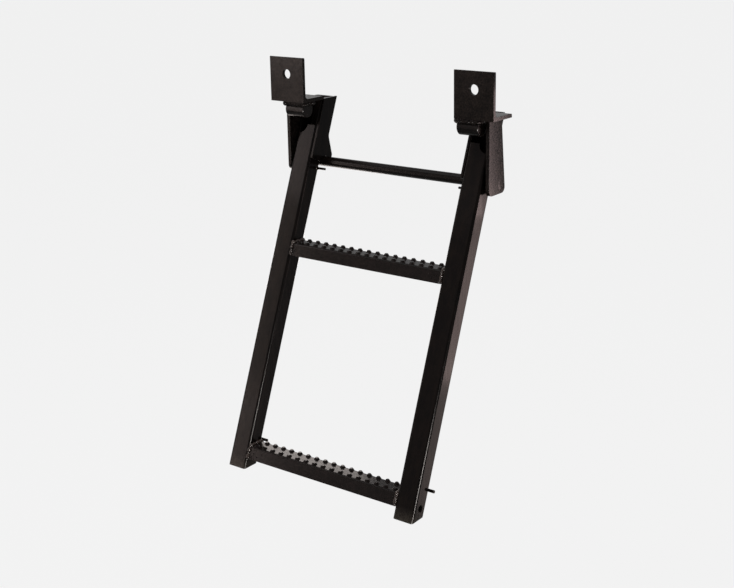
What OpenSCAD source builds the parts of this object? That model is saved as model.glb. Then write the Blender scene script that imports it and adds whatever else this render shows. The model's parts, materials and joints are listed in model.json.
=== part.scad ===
// Two-rung tailgate step that swings down from, and slides in under, a truck bed.
// The origin is midway between the two bolt holes, on the plane where the mounting
// angles' back faces meet the vehicle. +X is to the right, +Y into the vehicle, +Z up.

/* [Overall] */
// Width across the outer edges of the two mounting angles
overall_w = 441.5; // [420:0.5:520]
// Height from the underside of the shelves down to the feet of the rails
step_drop = 600; // [560:1:640]
// Lean of the let-down ladder from vertical, in degrees
lean = 21.5; // [19:0.5:24]

/* [Mounting angles] */
// Length of each angle, across the vehicle
angle_len = 71; // [60:1:80]
// Height of the upright leg, from the shelf's underside to its top edge
angle_h = 75.5; // [68:0.5:85]
// Depth of the shelf, from the upright's front face to the shelf's back edge
angle_d = 55; // [52:0.5:62]
// Thickness of the angle
angle_t = 6; // [5:0.5:8]
// Fillet radius in the angle's inner corner
angle_fillet = 6; // [3:0.5:8]
// Radius of the toes of the angle
toe_r = 2.5; // [1:0.5:3]
// Diameter of the bolt hole
bolt_d = 16.5; // [13:0.5:20]
// Distance from the upright's top edge down to the bolt hole
bolt_drop = 28.5; // [24:0.5:36]

/* [Guide bars] */
// Diameter of the round bar welded under each angle's heel
guide_d = 26.7; // [20:0.1:30]
// How far the guide bar is longer than the rail is wide
guide_extra = 2; // [0:0.5:6]
// Distance of the guide bar's axis behind the upright's front face
guide_setback = 15; // [10:0.5:17]
// Chamfer on the guide bar's ends
guide_chamfer = 1.2; // [0.5:0.1:2]

/* [Hanger legs] */
// Thickness of each hanger leg
leg_t = 6; // [5:0.5:8]
// Distance of the leg's outer face inside the angle's outer end
leg_inset = 18; // [14:0.5:22]
// Distance of the leg's front edge behind the upright's front face
leg_setback = 18.5; // [14:0.5:24]
// Length of leg below the crossbar's axis
leg_tail = 14; // [12:0.5:20]
// Width of leg behind the crossbar's axis
leg_edge = 12.5; // [11:0.5:18]
// Radius of the leg's lower corners
leg_corner_r = 9; // [4:0.5:12]

/* [Crossbar] */
// Diameter of the crossbar
rod_d = 17.2; // [14:0.1:20]
// Drop of the crossbar's axis below the underside of the shelves
rod_drop = 108; // [100:1:120]
// Distance of each end of the crossbar inside the leg's outer face
rod_recess = 0.4; // [0:0.1:1]
// Radial clearance of the crossbar in the leg bores
rod_clear = 0.1; // [0.05:0.05:0.3]
// Chamfer on the crossbar's ends
rod_chamfer = 0.5; // [0.2:0.1:1.5]

/* [Rails] */
// Width of each rail, across the ladder
rail_w = 37; // [32:0.5:42]
// Depth of each rail, front to back
rail_d = 30; // [26:0.5:34]
// Wall of the rail tube
rail_wall = 2.5; // [2:0.1:3]
// Outside corner radius of the rail tube
rail_corner_r = 4; // [3:0.5:5]
// Side gap between each rail and its hanger leg
rail_side_gap = 6; // [3:0.25:8]
// Gap between the rails' back faces and the crossbar, and between fronts and shelves
slide_gap = 0.3; // [0.2:0.05:0.6]
// Height of the rails' tops above the underside of the shelves
rail_top_over = 1; // [0.5:0.5:4]
// Length of front wall cut away at the top of each rail
mouth_len = 47; // [40:1:58]
// Radius of the round relief at the outer corner of the cut-away
relief_r = 15; // [8:0.5:18]
// Diameter of the drain hole in the outer wall of each rail
drain_d = 12; // [8:0.5:14]
// Height of the drain hole above the foot of the rail
drain_up = 17; // [14:0.5:22]

/* [Rungs] */
// Vertical spacing of the two rungs
rung_rise = 328; // [280:1:340]
// Height of the lower rung's underside above the feet of the rails
rung_foot = 17; // [12:1:24]
// Height of a rung's front flange
rung_h = 20; // [16:0.5:26]
// Sheet thickness of the rungs
rung_t = 3; // [2:0.25:4]
// Outside bend radius of the rungs
rung_bend_r = 4; // [3.5:0.5:5]
// Distance of each rung inside the rail's front and back faces
rung_inset = 0.6; // [0.3:0.1:1.5]
// Spacing of the grip buttons along a row
button_pitch = 18; // [14:0.5:20]
// Diameter of a grip button at its foot
button_d = 9.5; // [8:0.5:10.5]
// Diameter of a grip button at its top
button_top_d = 5.5; // [4:0.5:7]
// Height of the grip buttons above the tread
button_h = 3.2; // [2.5:0.1:4.5]
// Distance of the button rows inside the tread's front and back edges
button_edge = 6.8; // [6.4:0.1:7.5]

/* [Hook plates] */
// Thickness of each hook plate
hook_t = 4; // [3:0.5:5]
// How far the plate stands behind the rail above its nose
hook_proud = 3.5; // [2:0.5:5]
// How far the nose reaches behind the crossbar
nose_reach = 6; // [4:0.5:9]
// Height of the nose's shoulder above the crossbar's axis
nose_shoulder = 15; // [14:0.5:18]
// Height of the nose's tip above the crossbar's axis
nose_tip = 5; // [4:0.5:7]
// Height above the crossbar's axis where the nose starts to flare
nose_start = 44; // [36:1:52]
// Distance of the plate's lower edge below the crossbar's axis
hook_tail = 3; // [1:0.5:6]
// Corner radius where the nose starts to flare
flare_r = 12; // [6:0.5:16]
// Corner radius of the nose's shoulder
shoulder_r = 4; // [2:0.5:6]
// Corner radius of the nose's tip
tip_r = 1.5; // [0.5:0.5:2]
// Corner radius at the plate's lower front
tail_r = 2; // [1:0.5:3]

/* [Pins] */
// Diameter of the keeper pins, which go through the rails
keeper_d = 4; // [3:0.5:5]
// Length of keeper pin that stands out inside the ladder
keeper_in = 18; // [10:1:20]
// Gap below the crossbar to the keeper pin
keeper_gap = 5; // [3:0.5:8]
// Radial clearance of the keeper pins in the rail walls
keeper_clear = 0.05; // [0.02:0.01:0.1]
// Diameter of the stop pins, which are welded across the rails' backs
stop_d = 5; // [4:0.5:6]
// Length of stop pin that stands out inside the ladder
stop_in = 10; // [6:1:18]
// Length of stop pin that stands out past the rail and meets the hanger leg
stop_out = 8.5; // [8:0.5:12]
// Distance of the stop pin above the foot of the rail, along the rail
stop_up = 41; // [36:1:60]
// Chamfer on the pins' ends
pin_chamfer = 0.4; // [0.2:0.1:1]

/* [Hidden] */

coat = "#1d1917";
bracket_coat = "#25201e";
tread_coat = "#2b2725";
round_fn = 64;
button_fn = 24;
arc_steps = 6;
cut = 1;

// Levels and depths of the mounting angles
shelf_z = bolt_drop - angle_h;
shelf_top_z = shelf_z + angle_t;
shelf_back_y = angle_d - angle_t;
front_y = -angle_t;

// The ladder's own frame has its origin on the crossbar's axis and +Z up the rails
rod_r = rod_d / 2;
rail_back = -(rod_r + slide_gap);
rail_front = rail_back - rail_d;
pivot_z = shelf_z - rod_drop;
pivot_y = shelf_back_y + (slide_gap - rail_front) / cos(lean) - rod_drop * tan(lean);

// Places across the ladder, for the right-hand side
angle_x = overall_w / 2 - angle_len;
leg_x = overall_w / 2 - leg_inset - leg_t;
rail_outer_x = leg_x - rail_side_gap;
rail_inner_x = rail_outer_x - rail_w;
rail_mid_x = rail_outer_x - rail_w / 2;

// Levels of the ladder
foot_z = shelf_z - step_drop;
top_z = shelf_z + rail_top_over;
lower_rung_z = foot_z + rung_foot;
upper_rung_z = lower_rung_z + rung_rise;
slab = 2 * (step_drop + overall_w);

// The keeper pins lie against the inside of the rail's back wall, the stop pins on its outside
keeper_r = keeper_d / 2;
keeper_y = rail_back - rail_wall - keeper_r;
keeper_z = -(rod_r + keeper_gap + keeper_r);
stop_y = rail_back + stop_d / 2;
stop_z = along(rail_back, foot_z) + stop_up;

// Place along the rails, in the ladder's frame, of depth y at level z
function along(y, z) = (z - pivot_z + y * sin(lean)) / cos(lean);

// Depth, in the part's frame, of the ladder's plane at depth y where it meets level z
function plane_y(y, z) = pivot_y + y / cos(lean) + (z - pivot_z) * tan(lean);

function unit(v) = v / norm(v);

// Arc of radius r that rounds the corner at b between a and c
function corner(a, b, c, r) =
    r == 0 ? [b] :
    let (
        u = unit(a - b),
        v = unit(c - b),
        half = acos(u * v) / 2,
        mid = b + unit(u + v) * r / sin(half),
        start = b + u * r / tan(half) - mid,
        end = b + v * r / tan(half) - mid,
        from = atan2(start.y, start.x),
        turn = (atan2(end.y, end.x) - from + 540) % 360 - 180
    )
    [for (i = [0:arc_steps]) mid + r * [cos(from + turn * i / arc_steps), sin(from + turn * i / arc_steps)]];

// Closed outline whose corners are given as [point, radius]
function rounded(corners) =
    let (n = len(corners))
    [for (i = [0:n - 1])
        each corner(corners[(i + n - 1) % n][0], corners[i][0], corners[(i + 1) % n][0], corners[i][1])];

// Puts a right-hand piece on the left as its mirror image
module on_side(side) {
    mirror([side < 0 ? 1 : 0, 0, 0]) children();
}

// Moves from the ladder's frame to the part's frame
module in_ladder() {
    translate([0, pivot_y, pivot_z]) rotate([-lean, 0, 0]) children();
}

// Extrudes a (y, z) outline along X from x, over length len
module along_x(x, len) {
    translate([x, 0, 0]) rotate([90, 0, 90]) linear_extrude(height = len) children();
}

// Round bar along X from x, over length len, with its ends chamfered
module round_bar(d, x, len, chamfer) {
    r = d / 2;
    translate([x, 0, 0]) rotate([0, 90, 0])
        rotate_extrude($fn = round_fn)
            polygon([[0, 0], [r - chamfer, 0], [r, chamfer],
                     [r, len - chamfer], [r - chamfer, len], [0, len]]);
}

// Everything between the level cuts at the rails' feet and tops
module level_cut() {
    translate([-slab / 2, -slab / 2, foot_z]) cube([slab, slab, top_z - foot_z]);
}

// Rectangle with round corners, centred
module round_rect(w, d, r) {
    union() {
        square([w - 2 * r, d], center = true);
        square([w, d - 2 * r], center = true);
        for (x = [-1, 1], y = [-1, 1])
            translate([x * (w / 2 - r), y * (d / 2 - r)]) circle(r = r, $fn = round_fn);
    }
}

// Angle iron: the upright bolts to the vehicle and the shelf goes under its sill
module mount_angle(side) {
    color(bracket_coat) on_side(side) difference() {
        along_x(angle_x, angle_len) polygon(rounded([
            [[front_y, shelf_z], 0],
            [[front_y, bolt_drop], 0],
            [[0, bolt_drop], toe_r],
            [[0, shelf_top_z], angle_fillet],
            [[shelf_back_y, shelf_top_z], toe_r],
            [[shelf_back_y, shelf_z], 0]
        ]));
        translate([angle_x + angle_len / 2, cut, 0]) rotate([90, 0, 0])
            cylinder(d = bolt_d, h = angle_t + 2 * cut, $fn = round_fn);
    }
}

// Round bar under the angle's heel, over which the rail is steered in
module guide_bar(side) {
    color(bracket_coat) on_side(side)
        translate([0, front_y + guide_setback, shelf_z - guide_d / 2])
            round_bar(guide_d, rail_mid_x - (rail_w + guide_extra) / 2,
                      rail_w + guide_extra, guide_chamfer);
}

// Flat leg that hangs from the shelf and carries one end of the crossbar
module hanger_leg(side) {
    leg_front_y = front_y + leg_setback;
    leg_foot_z = pivot_z - leg_tail;
    color(bracket_coat) on_side(side) difference() {
        along_x(leg_x, leg_t) polygon(rounded([
            [[leg_front_y, shelf_z], 0],
            [[leg_front_y, leg_foot_z], leg_corner_r],
            [[pivot_y + leg_edge, leg_foot_z], leg_corner_r],
            [[shelf_back_y, shelf_z], 0]
        ]));
        translate([leg_x - cut, pivot_y, pivot_z]) rotate([0, 90, 0])
            cylinder(r = rod_r + rod_clear, h = leg_t + 2 * cut, $fn = round_fn);
    }
}

// Round bar between the two legs, on which the ladder hangs, swings and slides
module crossbar() {
    rod_len = 2 * (leg_x + leg_t - rod_recess);
    color(coat) translate([0, pivot_y, pivot_z])
        round_bar(rod_d, -rod_len / 2, rod_len, rod_chamfer);
}

// Part of the rail's front wall that is cut away at its top
module mouth() {
    inside_w = rail_w - 2 * rail_wall;
    mouth_z = along(rail_front, top_z) - mouth_len;
    depth = rail_corner_r + cut;
    intersection() {
        translate([rail_inner_x + rail_wall, rail_front - cut, mouth_z - relief_r])
            cube([inside_w, depth, mouth_len + relief_r + rail_d]);
        union() {
            translate([rail_inner_x, rail_front - 2 * cut, mouth_z])
                cube([rail_w, depth + 2 * cut, mouth_len + rail_d]);
            translate([rail_outer_x - rail_wall, rail_front + depth, mouth_z]) rotate([90, 0, 0])
                cylinder(r = relief_r, h = depth + 2 * cut, $fn = round_fn);
        }
    }
}

// Rectangular tube, cut level at both ends, with its mouth open at the top
module rail(side) {
    tube_top = along(rail_back, top_z) + rail_d;
    tube_foot = along(rail_front, foot_z) - rail_d;
    color(coat) on_side(side) intersection() {
        in_ladder() difference() {
            translate([rail_mid_x, rail_front + rail_d / 2, tube_foot])
                linear_extrude(height = tube_top - tube_foot) difference() {
                    round_rect(rail_w, rail_d, rail_corner_r);
                    round_rect(rail_w - 2 * rail_wall, rail_d - 2 * rail_wall,
                               rail_corner_r - rail_wall);
                }
            mouth();
            translate([rail_inner_x - cut, keeper_y, keeper_z]) rotate([0, 90, 0])
                cylinder(r = keeper_r + keeper_clear, h = rail_w + 2 * cut, $fn = round_fn);
            translate([rail_outer_x - rail_wall - cut, rail_front + rail_d / 2,
                       along(rail_front + rail_d / 2, foot_z + drain_up)]) rotate([0, 90, 0])
                cylinder(d = drain_d, h = rail_wall + 2 * cut, $fn = round_fn);
        }
        level_cut();
    }
}

// Plate on the rail's inner face, whose nose hangs over the crossbar
module hook_plate(side) {
    high = along(rail_back, top_z) + rail_d;
    nose_y = rod_r + nose_reach;
    color(coat) on_side(side) intersection() {
        in_ladder() along_x(rail_inner_x - hook_t, hook_t) difference() {
            polygon(rounded([
                [[rail_front + cut, -hook_tail], tail_r],
                [[rail_front + cut, high], 0],
                [[rail_back + hook_proud, high], 0],
                [[rail_back + hook_proud, nose_start], flare_r],
                [[nose_y, nose_shoulder], shoulder_r],
                [[nose_y, nose_tip], tip_r],
                [[rail_back, nose_tip], 0],
                [[rail_back, -hook_tail], 0]
            ]));
            circle(r = rod_r + slide_gap, $fn = round_fn);
        }
        level_cut();
    }
}

// Folded channel with a level, buttoned tread, welded between the rails
module rung(z) {
    z_top = z + rung_h;
    skin = rung_t / cos(lean);
    front = rail_front + rung_inset;
    back = rail_back - rung_inset;
    tread_front = plane_y(front, z_top);
    tread_back = plane_y(back, z_top);
    color(tread_coat) union() {
        along_x(-rail_inner_x, 2 * rail_inner_x) difference() {
            polygon(rounded([
                [[plane_y(front, z), z], 0],
                [[tread_front, z_top], rung_bend_r],
                [[tread_back, z_top], rung_bend_r],
                [[plane_y(back, z), z], 0]
            ]));
            polygon(rounded([
                [[plane_y(front, z - cut) + skin, z - cut], 0],
                [[plane_y(front, z_top - rung_t) + skin, z_top - rung_t], rung_bend_r - rung_t],
                [[plane_y(back, z_top - rung_t) - skin, z_top - rung_t], rung_bend_r - rung_t],
                [[plane_y(back, z - cut) - skin, z - cut], 0]
            ]));
        }
        button_row(tread_front + button_edge, z_top, 0);
        button_row(tread_back - button_edge, z_top, 1);
    }
}

// Row of grip buttons along a tread; an odd row is staggered by half the pitch
module button_row(y, z, odd) {
    count = floor((2 * rail_inner_x - 2 * button_d) / button_pitch) - odd;
    for (i = [0:count])
        translate([(i - count / 2) * button_pitch, y, z - cut])
            cylinder(d1 = button_d + cut * (button_d - button_top_d) / button_h,
                     d2 = button_top_d, h = button_h + cut, $fn = button_fn);
}

// Pin through the rail just below the crossbar, flush with the rail's outer face
module keeper_pin(side) {
    color(coat) on_side(side) in_ladder() translate([0, keeper_y, keeper_z])
        round_bar(keeper_d, rail_inner_x - keeper_in, rail_w + keeper_in, pin_chamfer);
}

// Pin across the rail's back, whose outer end meets the hanger leg when the ladder is in
module stop_pin(side) {
    color(coat) on_side(side) in_ladder() translate([0, stop_y, stop_z])
        round_bar(stop_d, rail_inner_x - stop_in, rail_w + stop_in + stop_out, pin_chamfer);
}

mount_angle(-1);  // left_mount_angle
mount_angle(1);  // right_mount_angle
guide_bar(-1);  // left_guide_bar
guide_bar(1);  // right_guide_bar
hanger_leg(-1);  // left_hanger_leg
hanger_leg(1);  // right_hanger_leg
crossbar();
rail(-1);  // left_rail
rail(1);  // right_rail
hook_plate(-1);  // left_hook_plate
hook_plate(1);  // right_hook_plate
rung(upper_rung_z);  // upper_rung
rung(lower_rung_z);  // lower_rung
keeper_pin(-1);  // left_keeper_pin
keeper_pin(1);  // right_keeper_pin
stop_pin(-1);  // left_stop_pin
stop_pin(1);  // right_stop_pin
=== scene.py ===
"""Finish of a two-rung tailgate step: powder-coated steel, weld beads and spatter."""
import json
import math

import bmesh
import bpy
import numpy as np
from bpy.props import FloatProperty, FloatVectorProperty, IntProperty, PointerProperty
from mathutils import Matrix, Quaternion, Vector


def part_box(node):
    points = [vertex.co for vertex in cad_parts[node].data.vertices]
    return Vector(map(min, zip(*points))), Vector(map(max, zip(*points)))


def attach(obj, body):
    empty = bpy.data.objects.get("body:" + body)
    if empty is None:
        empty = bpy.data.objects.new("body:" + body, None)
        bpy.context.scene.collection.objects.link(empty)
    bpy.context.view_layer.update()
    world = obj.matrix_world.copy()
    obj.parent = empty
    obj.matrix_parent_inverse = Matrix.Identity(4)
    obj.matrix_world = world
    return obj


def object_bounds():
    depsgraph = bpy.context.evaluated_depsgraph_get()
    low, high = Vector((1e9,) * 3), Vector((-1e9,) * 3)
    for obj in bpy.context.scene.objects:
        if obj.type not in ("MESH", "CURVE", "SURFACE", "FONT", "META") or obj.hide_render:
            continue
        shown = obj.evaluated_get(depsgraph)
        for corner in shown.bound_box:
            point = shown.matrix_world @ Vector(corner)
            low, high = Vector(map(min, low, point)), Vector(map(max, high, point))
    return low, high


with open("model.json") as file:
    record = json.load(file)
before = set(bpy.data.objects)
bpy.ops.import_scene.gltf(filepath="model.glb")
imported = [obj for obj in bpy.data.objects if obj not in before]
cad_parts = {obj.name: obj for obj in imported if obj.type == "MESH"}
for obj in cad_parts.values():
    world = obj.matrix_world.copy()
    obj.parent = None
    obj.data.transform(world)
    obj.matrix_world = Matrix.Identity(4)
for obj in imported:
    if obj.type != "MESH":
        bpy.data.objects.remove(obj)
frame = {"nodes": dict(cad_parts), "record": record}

bl_info = {
    "name": "Tailgate step finish",
    "version": (1, 0, 0),
    "blender": (4, 5, 0),
    "location": "3D View > Sidebar > Step",
    "description": "Powder coat, welds and stage for a two-rung tailgate step",
    "category": "Object",
}

CAD_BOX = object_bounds()
FOOT_Z = CAD_BOX[0][2]
MM = 0.001
# Lean of the let-down ladder from vertical, from the axis that it slides along
LEAN = math.asin(next(j["axis"][1] for j in frame["record"]["behaviour"]["joints"]
                      if j["name"] == "ladder_slide"))
# Height of the grip buttons, which stand on a rung's tread and reach the top of its box
BUTTON_H = 3.2 * MM

BRACKET_NODES = ("left_mount_angle", "right_mount_angle", "left_hanger_leg", "right_hanger_leg")
BAR_NODES = ("left_guide_bar", "right_guide_bar", "crossbar", "left_keeper_pin",
             "right_keeper_pin", "left_stop_pin", "right_stop_pin")
TUBE_NODES = ("left_rail", "right_rail", "left_hook_plate", "right_hook_plate")
TREAD_NODES = ("upper_rung", "lower_rung")
SIDES = {"left": -1, "right": 1}


def linear(hex_code):
    """Linear RGB of an sRGB hex colour.

    Each channel c becomes ((c + 0.055) / 1.055) ** 2.4, or c / 12.92 where it is very dark.
    """
    c = np.array([int(hex_code[i:i + 2], 16) / 255 for i in (1, 3, 5)])
    return tuple(np.where(c <= 0.04045, c / 12.92, ((c + 0.055) / 1.055) ** 2.4).tolist())


def colour(name, text, hex_code):
    """A colour setting whose default is that sRGB hex."""
    return FloatVectorProperty(name=name, description=text, subtype="COLOR", size=3,
                               min=0, max=1, default=linear(hex_code))


def length(name, text, mm):
    """A length setting whose default is that many millimetres."""
    return FloatProperty(name=name, description=text, default=mm * MM, min=0, unit="LENGTH",
                         precision=5)


class StepCoatSettings(bpy.types.PropertyGroup):
    """Colours and grain of the powder coat."""
    tube_colour: colour("Tube", "Coat on the box rails and hook plates", "#090707")
    tube_cloud: colour("Tube clouding", "Lighter clouding of that coat", "#130e0c")
    scuff_colour: colour("Scuff", "Thin coat round the rails' feet", "#403a34")
    angle_colour: colour("Angle", "Coat on the mounting angles and hanger legs", "#060404")
    angle_cloud: colour("Angle clouding", "Lighter clouding of that coat", "#231d1a")
    bar_colour: colour("Bar", "Coat on the round bars and pins", "#0a0706")
    bar_cloud: colour("Bar clouding", "Lighter clouding of that coat", "#15100e")
    tread_colour: colour("Tread", "Coat on the pressed treads", "#0c0908")
    tread_cloud: colour("Tread clouding", "Lighter clouding of that coat", "#181211")
    # The weld coat and its clouding are lighter than the rest: thin coat over the beads, and
    # partly a painted highlight of their lumps, spread at random
    weld_colour: colour("Weld", "Coat on the weld beads", "#1d1614")
    weld_cloud: colour("Weld clouding", "Thin coat on the crests of the beads", "#40342e")
    # Lighter colour of sharp edges: partly thin coat, partly a painted highlight of their gloss
    edge_wear_and_highlight_colour: colour("Edge", "Thin coat where it pulls back from an edge", "#2a231f")
    cloud_size: length("Cloud size", "Width of the clouding in the coat", 11.0)
    # Real orange peel is 1 to 3 mm wide; this is a little coarser, so that it shows
    peel_size: length("Orange peel", "Spacing of the orange peel", 3.2)
    edge_radius: length("Edge rounding", "Rounding that the coat gives to a sheared edge", 0.7)
    scuff_height: length("Scuff height", "Height of the worn band at the rails' feet", 21.0)


class StepWeldSettings(bpy.types.PropertyGroup):
    """Sizes of the weld beads."""
    rung_bead: length("Rung bead", "Radius of the beads at the ends of the rungs", 2.7)
    bracket_bead: length("Bracket bead", "Radius of the beads round the guide bars", 3.4)
    leg_bead: length("Leg bead", "Radius of the beads at the tops of the hanger legs", 2.0)
    pin_bead: length("Pin bead", "Radius of the beads round the pins", 1.1)
    ripple: length("Ripple", "Distance between the ripples of a bead", 3.6)
    drops: IntProperty(name="Spatter", description="Spatter drops beside each rung's end",
                       default=22, min=0)


class StepStageSettings(bpy.types.PropertyGroup):
    """Floor, lamps and camera."""
    backdrop: colour("Backdrop", "Pale floor and surroundings", "#f3f3f3")
    floor_drop: length("Floor drop", "Distance of the floor below the feet", 450.0)
    fill: FloatProperty(name="Fill", description="Strength of the even light", default=0.55, min=0)


# Mesh making ---------------------------------------------------------------------------------

# Steps round a ring or a crown
RING_STEPS = 40


def grid_quads(rows, cols, around, along=False):
    """Quads of a grid whose points are numbered row by row, one quad to a cell.

    around joins the last column to the first, and along the last row to the first.
    """
    index = np.arange(rows * cols).reshape(rows, cols)
    if around:
        index = np.concatenate([index, index[:, :1]], axis=1)
    if along:
        index = np.concatenate([index, index[:1]], axis=0)
    quads = np.stack([index[:-1, :-1], index[:-1, 1:], index[1:, 1:], index[1:, :-1]], axis=-1)
    return quads.reshape(-1, 4)


def skin(name, grid, around, along):
    """Object of a grid of points (rows, columns, 3).

    Rows that shrink to a point are merged, so the skin is closed there.
    """
    rows, cols = grid.shape[:2]
    return mesh_object(name, grid.reshape(-1, 3), grid_quads(rows, cols, around, along))


def mesh_object(name, points, quads):
    """Object at the origin from points and quads, with doubles merged and faces outward."""
    mesh = bpy.data.meshes.new(name)
    mesh.from_pydata(points.tolist(), [], quads.tolist())
    work = bmesh.new()
    work.from_mesh(mesh)
    bmesh.ops.remove_doubles(work, verts=work.verts, dist=1e-6)
    bmesh.ops.dissolve_degenerate(work, edges=work.edges, dist=1e-7)
    bmesh.ops.recalc_face_normals(work, faces=work.faces)
    work.to_mesh(mesh)
    work.free()
    mesh.shade_smooth()
    piece = bpy.data.objects.new(name, mesh)
    bpy.context.scene.collection.objects.link(piece)
    return piece


def eased(points, radius, steps=5):
    """Open polyline whose corners are eased by curves.

    The corner b between a and c becomes (1 - t)^2 p + 2 t (1 - t) b + t^2 q, for t from 0 to
    1, where p and q lie at the radius from b on the way to a and to c.
    """
    line = np.asarray(points, float)
    b = line[1:-1]
    back, on = line[:-2] - b, line[2:] - b
    p = b + radius * back / np.linalg.norm(back, axis=1, keepdims=True)
    q = b + radius * on / np.linalg.norm(on, axis=1, keepdims=True)
    t = np.linspace(0, 1, steps)[None, :, None]
    curve = (1 - t) ** 2 * p[:, None] + 2 * t * (1 - t) * b[:, None] + t ** 2 * q[:, None]
    return np.concatenate([line[:1], curve.reshape(-1, 3), line[-1:]])


# Shape of a weld bead: how many steps its skin has to a ripple and round its seam, how far a
# coin swells in radii and bows in ripples, the steps of its slow noise in ripples, and the
# length of its rounded end in radii
STEPS_TO_A_RIPPLE = 7
STEPS_ROUND_A_BEAD = 16
COIN_SWELL = 0.3
COIN_BOW = 0.22
SWELL_STEP = 0.8
DRIFT_STEP = 1.3
END_LENGTH = 0.8


def lumps(s, step, draw):
    """Slow noise along s from -1 to 1: cosine-eased steps between random values."""
    knots = draw.uniform(-1, 1, int(s.max() / step) + 3)
    at = s / step
    i = at.astype(int)
    f = (1 - np.cos(np.pi * (at - i))) / 2
    return knots[i] * (1 - f) + knots[i + 1] * f


def bead(name, path, axis, radius, ripple, seed, closed=False, rough=0.3):
    """Weld bead: a circle carried along the seam, its radius rippled like stacked coins.

    At distance s and angle t the skin is seam(s) + r (cos t * side + sin t * axis), with
    r = radius * end(s) * (1 + COIN_SWELL * coin + rough * swell). coin is 1 - |2 f - 1| of the
    fraction f of a ripple, bowed by cos t, less a half. swell and drift are slow noise that
    stands for uneven filler; drift moves the seam sideways, by up to 0.5 * rough * radius.
    end(s) rounds the two ends off.
    """
    p = np.asarray(path, float)
    if closed:
        p = np.concatenate([p, p[:1]])
    run = np.concatenate([[0], np.cumsum(np.linalg.norm(np.diff(p, axis=0), axis=1))])
    total = run[-1]
    count = max(12, int(round(total / (ripple / STEPS_TO_A_RIPPLE))))
    s = np.linspace(0, total, count + 1)
    seam = np.stack([np.interp(s, run, p[:, k]) for k in range(3)], axis=1)
    if closed:
        s, seam = s[:-1], seam[:-1]
        tangent = np.roll(seam, -1, axis=0) - np.roll(seam, 1, axis=0)
    else:
        tangent = np.gradient(seam, axis=0)
    axis = np.broadcast_to(np.asarray(axis, float), seam.shape)
    side = np.cross(tangent, axis)
    side /= np.linalg.norm(side, axis=1, keepdims=True)
    t = np.linspace(0, 2 * np.pi, STEPS_ROUND_A_BEAD, endpoint=False)
    draw = np.random.default_rng(seed)
    fade = np.minimum(1, np.minimum(s, total - s) / ripple) if closed else 1
    swell = lumps(s, SWELL_STEP * ripple, draw) * fade
    drift = lumps(s, DRIFT_STEP * ripple, draw) * fade
    f = (s[:, None] / ripple + COIN_BOW * np.cos(t)[None, :]) % 1.0
    coin = 0.5 - np.abs(2 * f - 1)
    from_end = np.clip(np.minimum(s, total - s) / (radius * END_LENGTH), 0, 1)
    end = np.ones_like(s) if closed else np.sqrt(1 - (1 - from_end) ** 2)
    r = radius * end[:, None] * (1 + COIN_SWELL * coin + rough * swell[:, None])
    grid = (seam + 0.5 * rough * radius * drift[:, None] * side)[:, None] + r[..., None] * (
        np.cos(t)[None, :, None] * side[:, None] + np.sin(t)[None, :, None] * axis[:, None])
    return skin(name, grid, True, closed)


def drops(name, feet, normals, sizes):
    """Spatter drops: flattened domes that stand on a face.

    At polar angle u and turn v a drop's skin is foot + size * (sin u (cos v * a + sin v * b)
    + 0.8 cos u * normal), for all drops at once; u runs a little past 90 degrees.
    """
    u, v = np.meshgrid(np.linspace(0, 1.9, 5), np.linspace(0, 2 * np.pi, 8, endpoint=False),
                       indexing="ij")
    n = normals / np.linalg.norm(normals, axis=1, keepdims=True)
    unlike_any_normal = np.array([0.31, 0.87, 0.39])
    a = np.cross(n, unlike_any_normal)
    a /= np.linalg.norm(a, axis=1, keepdims=True)
    b = np.cross(n, a)
    shape = (np.sin(u) * np.cos(v), np.sin(u) * np.sin(v), 0.8 * np.cos(u))
    grid = feet[:, None, None] + sizes[:, None, None, None] * sum(
        w[None, ..., None] * d[:, None, None] for w, d in zip(shape, (a, b, n)))
    first = np.arange(len(feet)) * u.size
    quads = grid_quads(*u.shape, around=True) + first[:, None, None]
    return mesh_object(name, grid.reshape(-1, 3), quads.reshape(-1, 4))


def crown(name, centre, radius, height, out):
    """Peened end of a bar: a dome on a flat underside, both just off its end face.

    At the share rho of the radius the dome stands rim + height * (1 - rho ** 4) off the face,
    out along X, and the underside stands clear of it by half the rim.
    """
    rim = 0.04 * MM
    rho, v = np.meshgrid(np.sin(np.linspace(0, np.pi / 2, 9)),
                         np.linspace(0, 2 * np.pi, RING_STEPS, endpoint=False), indexing="ij")
    dome = np.stack([out * (height * (1 - rho ** 4) + rim), radius * rho * np.cos(v),
                     radius * rho * np.sin(v)], axis=-1)
    underside = dome[::-1] * (0, 1, 1) + (out * rim / 2, 0, 0)
    return skin(name, np.concatenate([dome, underside]) + np.asarray(centre), True, False)


# Materials -----------------------------------------------------------------------------------

def add(owner, kind, values=None, **settings):
    """Adds a node with its settings to a material or world.

    Each of its values is a number, a colour or a socket to link.
    """
    made = owner.node_tree.nodes.new(kind)
    for key, value in settings.items():
        setattr(made, key, value)
    for key, value in (values or {}).items():
        if isinstance(value, bpy.types.NodeSocket):
            owner.node_tree.links.new(value, made.inputs[key])
        else:
            made.inputs[key].default_value = value
    return made


# Width of a streak of clouding as a share of its length
STREAK = 0.12
# Height over which the upper edge of the worn band wanders
RAGGED = 12 * MM
# Depth of the orange peel at full strength
PEEL_DEPTH = 0.15 * MM


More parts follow.
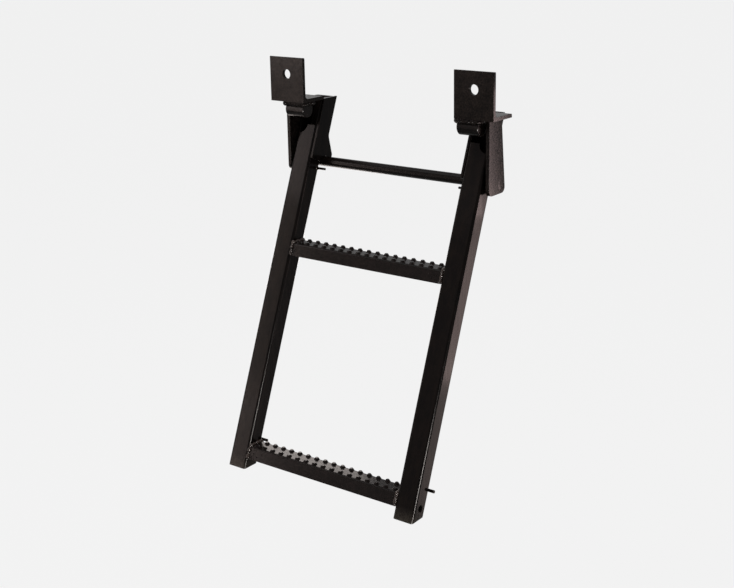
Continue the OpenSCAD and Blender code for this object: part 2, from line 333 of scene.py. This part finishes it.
def worn_feet(m, tint, spot, mottle, coat):
    """The tint with a ragged, patchy band of thin coat above the level of the feet."""
    height = add(m, "ShaderNodeSeparateXYZ", {"Vector": spot}).outputs["Z"]
    ragged = add(m, "ShaderNodeMath", {0: mottle, 1: RAGGED, 2: height},
                 operation="MULTIPLY_ADD")
    low = FOOT_Z + RAGGED / 2
    band = add(m, "ShaderNodeMapRange", {
        "Value": ragged.outputs[0], "From Min": low + coat.scuff_height, "From Max": low})
    patches = add(m, "ShaderNodeMapRange", {
        "Value": mottle, "From Min": 0.35, "From Max": 0.65, "To Min": 0.15, "To Max": 1.0})
    share = add(m, "ShaderNodeMath", {
        0: band.outputs["Result"], 1: patches.outputs["Result"]}, operation="MULTIPLY")
    return add(m, "ShaderNodeMix", {
        "Factor": share.outputs[0], "A": tint, "B": (*coat.scuff_colour, 1)},
        data_type="RGBA").outputs["Result"]


def powder_coat(name, base, cloud, coat, rough, peel, level, grain, along=False, feet=False):
    """Thermoset powder coat, sprayed and baked on steel: a deep black film with a wet gloss.

    It gives the eye a soft mirror broken by orange peel, faint brown clouding where the film is
    thinner, and lighter lines along sharp edges, which stand partly for coat that pulls back
    from them and partly for a painted highlight of their gloss. rough is its lowest and highest
    roughness, peel the strength of the orange peel and level its specular level. grain is the
    share of fine mottling that hot-rolled steel shows through it, along draws the clouding out
    into streaks that run with the rails, and feet adds a worn band at their feet.
    """
    m = bpy.data.materials.new(name)
    m.use_nodes = True
    m.node_tree.nodes.clear()
    spot = add(m, "ShaderNodeTexCoord").outputs["Object"]
    where = add(m, "ShaderNodeMapping", {
        "Vector": spot, "Rotation": (LEAN if along else 0, 0, 0),
        "Scale": (1, 1, STREAK if along else 1)}).outputs["Vector"]
    clouding = add(m, "ShaderNodeTexNoise", {
        "Vector": where, "Scale": 1 / coat.cloud_size, "Detail": 4, "Roughness": 0.65})
    mottle = add(m, "ShaderNodeTexNoise", {
        "Vector": spot, "Scale": 5 / coat.cloud_size, "Detail": 2, "Roughness": 0.7})
    blend = add(m, "ShaderNodeMix", {
        "Factor": 0.5 * grain, "A": clouding.outputs["Fac"], "B": mottle.outputs["Fac"]},
        data_type="FLOAT")
    cloud_mask = add(m, "ShaderNodeMapRange", {
        "Value": blend.outputs["Result"], "From Min": 0.4, "From Max": 0.66})
    rounded = add(m, "ShaderNodeBevel", {"Radius": coat.edge_radius}, samples=6)
    flat = add(m, "ShaderNodeNewGeometry").outputs["Normal"]
    lift = add(m, "ShaderNodeVectorMath", {0: rounded.outputs["Normal"], 1: flat},
               operation="DOT_PRODUCT")
    # Edge mask for the lighter edge colour, which is partly thin coat and partly a painted
    # highlight on the edges
    edge = add(m, "ShaderNodeMapRange", {
        "Value": lift.outputs["Value"], "From Min": 0.99, "From Max": 0.82})
    tint = add(m, "ShaderNodeMix", {
        "Factor": cloud_mask.outputs["Result"], "A": (*base, 1), "B": (*cloud, 1)},
        data_type="RGBA").outputs["Result"]
    if feet:
        tint = worn_feet(m, tint, spot, mottle.outputs["Fac"], coat)
    worn = add(m, "ShaderNodeMix", {
        "Factor": edge.outputs["Result"], "A": tint, "B": (*coat.edge_wear_and_highlight_colour, 1)},
        data_type="RGBA")
    haze = add(m, "ShaderNodeTexNoise", {
        "Vector": where, "Scale": 2.5 / coat.cloud_size, "Detail": 3})
    gloss = add(m, "ShaderNodeMapRange", {
        "Value": haze.outputs["Fac"], "From Min": 0.3, "From Max": 0.7,
        "To Min": rough[0], "To Max": rough[1]})
    peeling = add(m, "ShaderNodeTexNoise", {
        "Vector": spot, "Scale": 1 / coat.peel_size, "Detail": 1.5})
    bump = add(m, "ShaderNodeBump", {
        "Height": peeling.outputs["Fac"], "Normal": rounded.outputs["Normal"],
        "Strength": peel, "Distance": PEEL_DEPTH})
    body = add(m, "ShaderNodeBsdfPrincipled", {
        "Base Color": worn.outputs["Result"], "Roughness": gloss.outputs["Result"],
        "Specular IOR Level": level, "Normal": bump.outputs["Normal"]})
    add(m, "ShaderNodeOutputMaterial", {"Surface": body.outputs["BSDF"]})


TUBE_COAT = "Gloss powder coat on box tube"
ANGLE_COAT = "Gloss powder coat on hot-rolled angle"
BAR_COAT = "Gloss powder coat on round bar"
TREAD_COAT = "Gloss powder coat on pressed sheet"
WELD_COAT = "Gloss powder coat over weld"

# Each coat's colour settings, the nodes that wear it and how its film lies
FINISHES = {
    # A smooth cold-formed wall under the film gives the deepest and wettest mirror
    TUBE_COAT: ("tube", TUBE_NODES, dict(
        rough=(0.14, 0.22), peel=0.3, level=0.025, grain=0.3, along=True, feet=True)),
    # Mill scale leaves the film mottled and its gloss uneven
    ANGLE_COAT: ("angle", BRACKET_NODES, dict(
        rough=(0.18, 0.3), peel=0.45, level=0.028, grain=1.2)),
    # Drawn bar is smooth, and the film sags a little round it
    BAR_COAT: ("bar", BAR_NODES, dict(
        rough=(0.18, 0.3), peel=0.5, level=0.04, grain=0.6)),
    # Pressed sheet is slightly brighter, where the film thins over its bends and buttons
    TREAD_COAT: ("tread", TREAD_NODES, dict(
        rough=(0.16, 0.26), peel=0.4, level=0.04, grain=0.6)),
    # The film draws thin over the crests of a bead, so they glint; the coat's lighter colour and
    # clouding add a painted highlight in random patches
    WELD_COAT: ("weld", (), dict(
        rough=(0.1, 0.24), peel=0.5, level=0.14, grain=0.8)),
}


def wear(piece, coat, body=None):
    """Gives a piece the coat of that name, and a new piece its body and slot too."""
    material = bpy.data.materials[coat]
    if body:
        piece.data.materials.append(material)
        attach(piece, body)
    for held in piece.material_slots:
        held.material = material


# Pieces --------------------------------------------------------------------------------------

# Radius of the curve by which a seam turns a corner
SEAM_TURN = 3 * MM


def corners(node):
    """A node's lowest and highest corners at rest."""
    low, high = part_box(node)
    return np.array(low), np.array(high)


def rung_outline(node, x, out):
    """Seam round a rung's end at x: up its front, over the tread and down its back.

    The two flanges lean with the ladder, so a flange's depth moves by tan(lean) times height.
    The seam is moved out of the steel by out, along the flanges' normals, and its two top
    corners are lifted on to the tread.
    """
    low, high = corners(node)
    top = high[2] - BUTTON_H
    shift = (top - low[2]) * math.tan(LEAN)
    away = out * np.array([math.cos(LEAN), math.sin(LEAN)])
    front_low = np.array([low[1], low[2]]) + away * (-1, 1)
    front_top = np.array([low[1] + shift, top]) + away * (-1, 1)
    back_top = np.array([high[1], top]) + away * (1, -1)
    back_low = np.array([high[1] - shift, low[2]]) + away * (1, -1)
    lift = np.array([0, out])
    yz = np.array([front_low, front_top + 0.6 * lift, back_top + lift, back_low])
    return eased(np.column_stack([np.full(len(yz), x), yz]), SEAM_TURN)


# Operators -----------------------------------------------------------------------------------

class STEP_OT_coat(bpy.types.Operator):
    """Gives every steel piece its powder coat"""
    bl_idname = "step.coat"
    bl_label = "Coat the steel"

    def execute(self, context):
        c = context.scene.step_coat
        for name, (part, nodes, film) in FINISHES.items():
            base, cloud = getattr(c, f"{part}_colour"), getattr(c, f"{part}_cloud")
            powder_coat(name, base, cloud, c, **film)
            for node in nodes:
                wear(frame["nodes"][node], name)
        return {"FINISHED"}


class STEP_OT_rung_welds(bpy.types.Operator):
    """Runs a bead round both ends of each rung, where it meets the rails"""
    bl_idname = "step.rung_welds"
    bl_label = "Weld the rungs"

    def execute(self, context):
        w = context.scene.step_weld
        inner = corners("right_rail")[0][0]
        off_rail, off_rung = 0.35 * w.rung_bead, 0.2 * w.rung_bead
        ends = [(node, word) for node in TREAD_NODES for word in SIDES]
        for at, (node, word) in enumerate(ends):
            seam = rung_outline(node, SIDES[word] * (inner - off_rail), off_rung)
            piece = bead(f"{node}_{word}_bead", seam, (1, 0, 0), w.rung_bead, w.ripple, 11 + at,
                         rough=0.45)
            wear(piece, WELD_COAT, "ladder")
        return {"FINISHED"}


class STEP_OT_bracket_welds(bpy.types.Operator):
    """Runs beads round the guide bars and along the tops of the hanger legs"""
    bl_idname = "step.bracket_welds"
    bl_label = "Weld the brackets"

    def execute(self, context):
        w = context.scene.step_weld
        for word, side in SIDES.items():
            plate_low, plate_high = corners(f"{word}_mount_angle")
            self.guide_bead(w, word, side, plate_low[1])
            self.leg_bead(w, word, side, plate_high[1])
        return {"FINISHED"}

    def guide_bead(self, w, word, side, plate_front):
        """Bead under the shelf, round the guide bar and as far behind it as before it."""
        low, high = corners(f"{word}_guide_bar")
        r, mid = w.bracket_bead, (low[1] + high[1]) / 2
        z = high[2] - 0.9 * r
        front, back = plate_front + 0.45 * r, 2 * mid - plate_front - 0.45 * r
        left, right = low[0] - 0.1 * r, high[0] + 0.1 * r
        seam = [(left, mid, z), (left, front, z), (right, front, z), (right, back, z),
                (left, back, z), (left, mid, z)]
        piece = bead(f"{word}_guide_bead", eased(seam, SEAM_TURN)[:-1], (0, 0, 1), r, w.ripple,
                     31 + side, closed=True)
        wear(piece, ANGLE_COAT, "brackets")

    def leg_bead(self, w, word, side, shelf_back):
        """Bead in the corner of the shelf and the leg's inner face, short of both edges."""
        low, high = corners(f"{word}_hanger_leg")
        inner, into = low[0] if side > 0 else high[0], 0.3 * w.leg_bead
        seam = [(inner - side * into, y, high[2] - into)
                for y in (low[1] + 2 * MM, shelf_back - 3 * MM)]
        piece = bead(f"{word}_leg_bead", seam, (0, 0, 1), w.leg_bead, w.ripple, 41 + side)
        wear(piece, WELD_COAT, "brackets")


class STEP_OT_ladder_welds(bpy.types.Operator):
    """Runs beads round the keeper pins and along the stop pins"""
    bl_idname = "step.ladder_welds"
    bl_label = "Weld the pins"

    def execute(self, context):
        w = context.scene.step_weld
        for word, side in SIDES.items():
            rail = corners(f"{word}_rail")
            inner, outer = (rail[0][0], rail[1][0])[::side]
            self.keeper_bead(w, word, side, inner)
            self.stop_beads(w, word, side, inner, outer)
        return {"FINISHED"}

    def keeper_bead(self, w, word, side, inner):
        """Ring round the keeper pin where it leaves the rail's inner face."""
        low, high = corners(f"{word}_keeper_pin")
        centre, r = (low + high) / 2, (high[2] - low[2]) / 2 + 0.3 * w.pin_bead
        turn = np.linspace(0, 2 * np.pi, RING_STEPS, endpoint=False)
        x = np.full(RING_STEPS, inner - side * 0.2 * w.pin_bead)
        ring = np.column_stack([x, centre[1] + r * np.cos(turn), centre[2] + r * np.sin(turn)])
        piece = bead(f"{word}_keeper_bead", ring, (1, 0, 0), w.pin_bead, w.ripple, 51,
                     closed=True)
        wear(piece, WELD_COAT, "ladder")

    def stop_beads(self, w, word, side, inner, outer):
        """Beads above and below the stop pin, in the corners that it makes with the rail."""
        low, high = corners(f"{word}_stop_pin")
        centre, r = (low + high) / 2, 0.9 * (high[2] - low[2]) / 2
        clear = side * 5 * MM
        for at, way in enumerate((-1, 1)):
            tilt = LEAN + way * 0.4 * math.pi
            y, z = centre[1] - math.cos(tilt) * r, centre[2] + math.sin(tilt) * r
            seam = [(x, y, z) for x in (inner + clear, outer - clear)]
            piece = bead(f"{word}_stop_bead_{at}", seam, (0, -math.sin(LEAN), -math.cos(LEAN)),
                         w.pin_bead, w.ripple, 55 + at)
            wear(piece, WELD_COAT, "ladder")


class STEP_OT_crossbar_ends(bpy.types.Operator):
    """Puts a peened crown on each end of the crossbar"""
    bl_idname = "step.crossbar_ends"
    bl_label = "Peen the crossbar"

    def execute(self, context):
        low, high = corners("crossbar")
        centre, r = (low + high) / 2, (high[2] - low[2]) / 2
        spread, height = 0.8 * MM, 0.4 * MM
        for word, side in SIDES.items():
            at = (high[0] if side > 0 else low[0], centre[1], centre[2])
            piece = crown(f"crossbar_{word}_crown", at, r + spread, height, side)
            wear(piece, ANGLE_COAT, "pivot")
        return {"FINISHED"}


class STEP_OT_spatter(bpy.types.Operator):
    """Scatters weld spatter beside the ends of the rungs"""
    bl_idname = "step.spatter"
    bl_label = "Scatter spatter"

    def execute(self, context):
        w = context.scene.step_weld
        draw = np.random.default_rng(7)
        inner = corners("right_rail")[0][0]
        clear, typical, farthest = 4 * MM, 7 * MM, 30 * MM
        out = np.array([0, -math.cos(LEAN), math.sin(LEAN)])
        for node in TREAD_NODES:
            low, high = corners(node)
            height = high[2] - BUTTON_H - low[2]
            n = 2 * w.drops
            side = np.repeat(list(SIDES.values()), w.drops)
            x = side * (inner - clear - draw.exponential(typical, n).clip(0, farthest))
            up = draw.uniform(0.1, 0.9, n) * height
            feet = np.column_stack([x, low[1] + up * math.tan(LEAN), low[2] + up])
            sizes = draw.uniform(0.5, 1.1, n) * MM
            piece = drops(f"{node}_spatter", feet, np.tile(out, (n, 1)), sizes)
            wear(piece, TREAD_COAT, "ladder")
        return {"FINISHED"}


# Stage ---------------------------------------------------------------------------------------

# Half the side of the floor in metres, and the share of flat glow in what is seen of it
FLOOR_HALF = 40.0
GLOW_SHARE = 0.95

# Place of the camera, its yaw, pitch and roll, its lens in mm and its shift up in image widths
CAMERA_PLACE = (1.18502, -1.61645, 0.27287)
CAMERA_TURN = (0.64305, 0.26478, -0.01762)
CAMERA_LENS = 61.307902
CAMERA_SHIFT = -0.06811989

# The lamp that lights the coat: place and target in metres, width and height, power in watts
OVERHEAD = ((-0.5, -0.6, 2.2), (0, -0.05, -0.33), (2.4, 2.4), 55)

# Cards that the gloss mirrors as highlights, each named for where it shows: as for the lamp,
# then tint and roll
CARDS = {
    "leg_card": (
        (0.346, 0.156, -0.14), (0.2, 0.03, -0.1), (0.1, 0.22), 1.15, "#ffe2e0", 0.0),
    "right_card": (
        (0.556, 0.492, -0.5), (0.18, -0.05, -0.32), (0.17, 0.4), 2.1, "#ffe2dc", 0.0),
    "right_foot_card": (
        (0.562, 0.482, -0.84), (0.18, -0.16, -0.56), (0.18, 0.32), 0.8, "#ffe6de", 0.0),
    "left_card": (
        (-1.121, -1.051, 0.0), (-0.16, -0.09, -0.3), (0.17, 1.3), 8.3, "#ffeae0", 0.255),
    "left_foot_card": (
        (-1.031, -1.128, -0.4), (-0.16, -0.15, -0.6), (0.2, 0.3), 1.3, "#ffe8e2", 0.0),
    "left_plate_card": (
        (-0.46, -0.3, 0.045), (-0.19, 0, 0.0), (0.22, 0.2), 0.8, "#fff0f0", 0.0),
    "right_plate_card": (
        (-0.03, -0.34, 0.045), (0.19, 0, 0.0), (0.2, 0.2), 0.15, "#ffece8", 0.0),
    "middle_card": (
        (-0.765, -1.356, 0.0), (0.16, -0.09, -0.3), (0.5, 1.2), 2.3, "#ffece4", 0.0),
    "tread_card": (
        (-0.36, 0.195, -0.4), (-0.06, -0.155, -0.61), (0.28, 0.14), 1.1, "#fff4ee", 0.0),
    "bar_card": (
        (-0.5, 0.15, -0.52), (-0.18, 0.02, -0.08), (0.25, 0.25), 0.75, "#fff0e8", 0.0),
    "edge_card": (
        (1.3, -0.85, -0.52), (0.1, -0.15, -0.51), (0.7, 0.28), 105, "#fff8f2", -0.305),
}


def soft_lamp(name, place, target, size, power, tint="#ffffff", roll=0.0, card=False):
    """An area lamp at place, turned to target and rolled, which the camera doesn't see.

    A card is only mirrored in the gloss of the coat, and doesn't raise the level of the light.
    """
    data = bpy.data.lights.new(name, "AREA")
    data.shape, data.size, data.size_y = "RECTANGLE", size[0], size[1]
    data.energy, data.color = power, linear(tint)
    lamp = bpy.data.objects.new(name, data)
    lamp.location = place
    aim = (Vector(target) - Vector(place)).to_track_quat("-Z", "Y")
    lamp.rotation_euler = (aim @ Quaternion((0, 0, 1), roll)).to_euler()
    lamp.visible_camera = False
    lamp.visible_diffuse = not card
    bpy.context.scene.collection.objects.link(lamp)


def background_rays(owner):
    """1 for camera, glossy and transmission rays, which see the background itself, else 0."""
    ray = add(owner, "ShaderNodeLightPath").outputs
    seen = ray["Is Camera Ray"]
    for kind in ("Is Glossy Ray", "Is Transmission Ray"):
        seen = add(owner, "ShaderNodeMath", {0: seen, 1: ray[kind]},
                   operation="MAXIMUM").outputs[0]
    return seen


def lay_floor(z, backdrop):
    """Wide level floor of matt paint, which shows as an almost even pale glow.

    The small share of paint in what is seen of it gives the object a faint soft shadow.
    """
    x, y = np.meshgrid(np.linspace(-FLOOR_HALF, FLOOR_HALF, 3),
                       np.linspace(-FLOOR_HALF, FLOOR_HALF, 3))
    floor = skin("floor", np.stack([x, y, np.full_like(x, z)], -1), False, False)
    if floor.data.polygons[0].normal.z < 0:
        floor.data.flip_normals()
    paint = bpy.data.materials.new("Matt studio floor paint")
    paint.use_nodes = True
    paint.node_tree.nodes.clear()
    share = add(paint, "ShaderNodeMath", {0: background_rays(paint), 1: GLOW_SHARE},
                operation="MULTIPLY")
    matt = add(paint, "ShaderNodeBsdfDiffuse", {"Color": (*backdrop, 1)})
    glow = add(paint, "ShaderNodeEmission", {"Color": (*backdrop, 1), "Strength": 1.0})
    both = add(paint, "ShaderNodeMixShader", {
        0: share.outputs[0], 1: matt.outputs[0], 2: glow.outputs[0]})
    add(paint, "ShaderNodeOutputMaterial", {"Surface": both.outputs[0]})
    floor.data.materials.append(paint)


def surround(scene, backdrop, fill):
    """Pale world, seen at full strength but lighting the coat only at the fill's strength."""
    world = bpy.data.worlds.new("Pale surroundings")
    world.use_nodes = True
    world.node_tree.nodes.clear()
    power = add(world, "ShaderNodeMapRange", {
        "Value": background_rays(world), "To Min": fill, "To Max": 1.0})
    sky = add(world, "ShaderNodeBackground", {
        "Color": (*backdrop, 1), "Strength": power.outputs["Result"]})
    add(world, "ShaderNodeOutputWorld", {"Surface": sky.outputs[0]})
    scene.world = world


def stand_camera(scene):
    """Camera at a yaw to the right of the ladder and a pitch above it, with a slight roll."""
    yaw, pitch, roll = CAMERA_TURN
    back = Vector((math.sin(yaw) * math.cos(pitch), -math.cos(yaw) * math.cos(pitch),
                   math.sin(pitch)))
    level = Vector((math.cos(yaw), math.sin(yaw), 0))
    up = back.cross(level)
    right = math.cos(roll) * level + math.sin(roll) * up
    top = -math.sin(roll) * level + math.cos(roll) * up
    data = bpy.data.cameras.new("camera")
    data.lens, data.shift_y = CAMERA_LENS, CAMERA_SHIFT
    data.clip_start, data.clip_end = 0.05, 200
    eye = bpy.data.objects.new("camera", data)
    turn = Matrix((right, top, back)).transposed().to_4x4()
    eye.matrix_world = Matrix.Translation(CAMERA_PLACE) @ turn
    scene.collection.objects.link(eye)
    scene.camera = eye


class STEP_OT_stage(bpy.types.Operator):
    """Sets up the pale floor, the lamps and the camera"""
    bl_idname = "step.stage"
    bl_label = "Set the stage"

    def execute(self, context):
        scene, s = context.scene, context.scene.step_stage
        scene.view_settings.view_transform = "Standard"
        lay_floor(FOOT_Z - s.floor_drop, s.backdrop)
        surround(scene, s.backdrop, s.fill)
        soft_lamp("overhead", *OVERHEAD)
        for name, settings in CARDS.items():
            soft_lamp(name, *settings, card=True)
        stand_camera(scene)
        return {"FINISHED"}


class STEP_PT_panel(bpy.types.Panel):
    """Settings and steps of the tailgate step's finish"""
    bl_idname = "STEP_PT_panel"
    bl_label = "Tailgate step"
    bl_space_type = "VIEW_3D"
    bl_region_type = "UI"
    bl_category = "Step"

    def draw(self, context):
        for group in GROUPS:
            holder = getattr(context.scene, group)
            for name in holder.bl_rna.properties.keys():
                if name not in ("rna_type", "name"):
                    self.layout.prop(holder, name)
        for operator in OPERATORS:
            self.layout.operator(operator.bl_idname)


OPERATORS = (STEP_OT_coat, STEP_OT_rung_welds, STEP_OT_bracket_welds, STEP_OT_ladder_welds,
             STEP_OT_crossbar_ends, STEP_OT_spatter, STEP_OT_stage)
GROUPS = {"step_coat": StepCoatSettings, "step_weld": StepWeldSettings,
          "step_stage": StepStageSettings}


def register():
    """Registers the settings, the operators and the panel."""
    for cls in (*GROUPS.values(), *OPERATORS, STEP_PT_panel):
        bpy.utils.register_class(cls)
    for name, group in GROUPS.items():
        setattr(bpy.types.Scene, name, PointerProperty(type=group))


def unregister():
    """Takes them out again, in the reverse order."""
    for name in GROUPS:
        delattr(bpy.types.Scene, name)
    for cls in (STEP_PT_panel, *reversed(OPERATORS), *reversed(tuple(GROUPS.values()))):
        bpy.utils.unregister_class(cls)


def main():
    """Builds the finish and the stage, one operator after another."""
    register()
    for operator in OPERATORS:
        family, name = operator.bl_idname.split(".")
        getattr(getattr(bpy.ops, family), name)()
    bpy.context.view_layer.update()


if __name__ == "__main__":
    main()
